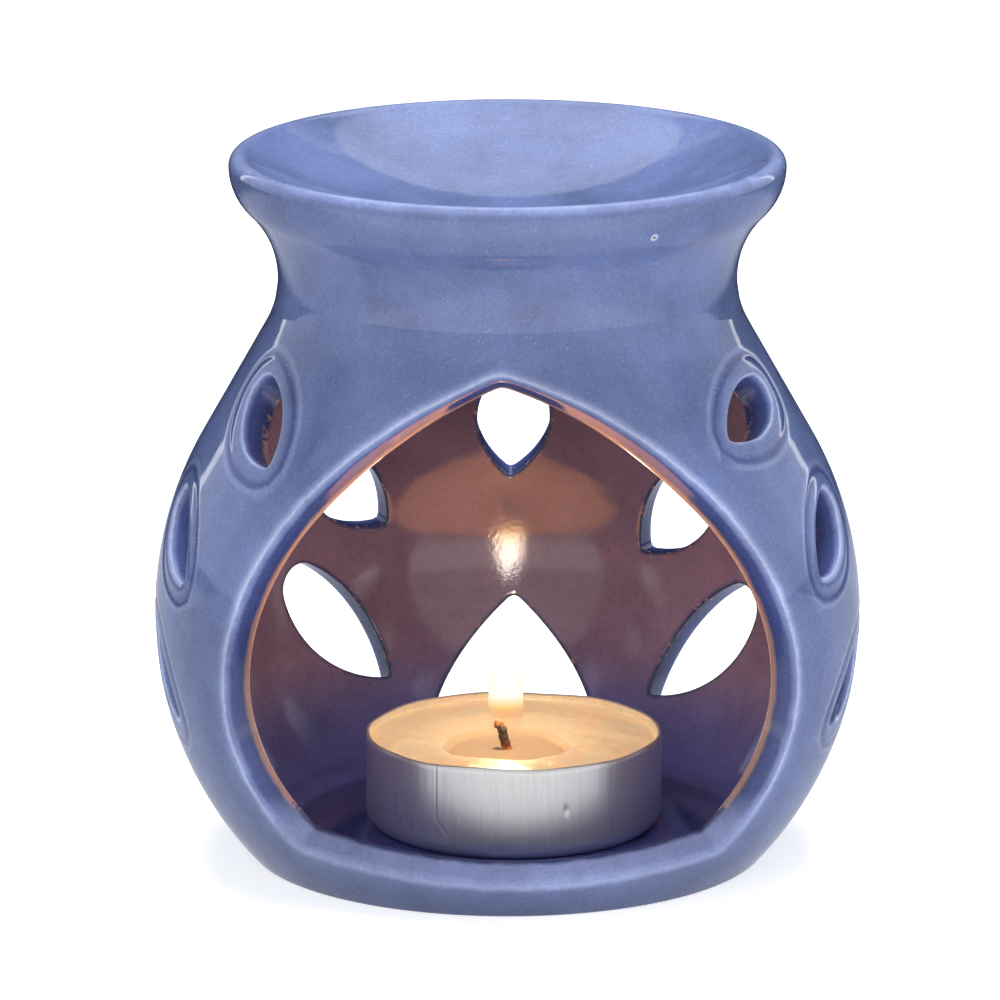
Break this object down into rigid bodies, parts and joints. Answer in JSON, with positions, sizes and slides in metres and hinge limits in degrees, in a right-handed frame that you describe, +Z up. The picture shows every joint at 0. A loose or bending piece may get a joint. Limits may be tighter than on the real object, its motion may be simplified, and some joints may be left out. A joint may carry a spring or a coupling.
{
  "type": "essential oil burner",
  "caption": "Rounded ceramic oil burner with a shallow flared dish on its neck, a pointed arched mouth, leaf-shaped cut-outs and a tealight inside.",
  "frame": {"origin": "middle of the round foot, on the surface that the burner stands on", "axes": "+Z up along the axis of the pot, -Y out of the arched mouth, +X to the right of someone facing the mouth"},
  "size_m": [0.0902, 0.0817, 0.091],
  "materials": {
    "glaze": "gloss, mottled periwinkle blue",
    "cup_foil": "drawn, satin",
    "wax": "soft satin, peach",
    "tinplate": "satin",
    "wick_cotton": "charred braid"
  },
  "bodies": {
    "pot": {"burner_body": "glaze", "oil_dish": "glaze"},
    "tealight": {"candle_cup": "cup_foil", "wax": "wax", "wick_sustainer": "tinplate", "wick": "wick_cotton"}
  },
  "joints": [
    {"name": "tealight_slide", "type": "slide", "parent": "pot", "child": "tealight", "axis": [0, -0.9272, 0.3746], "range_m": [0, 0.062]}
  ]
}
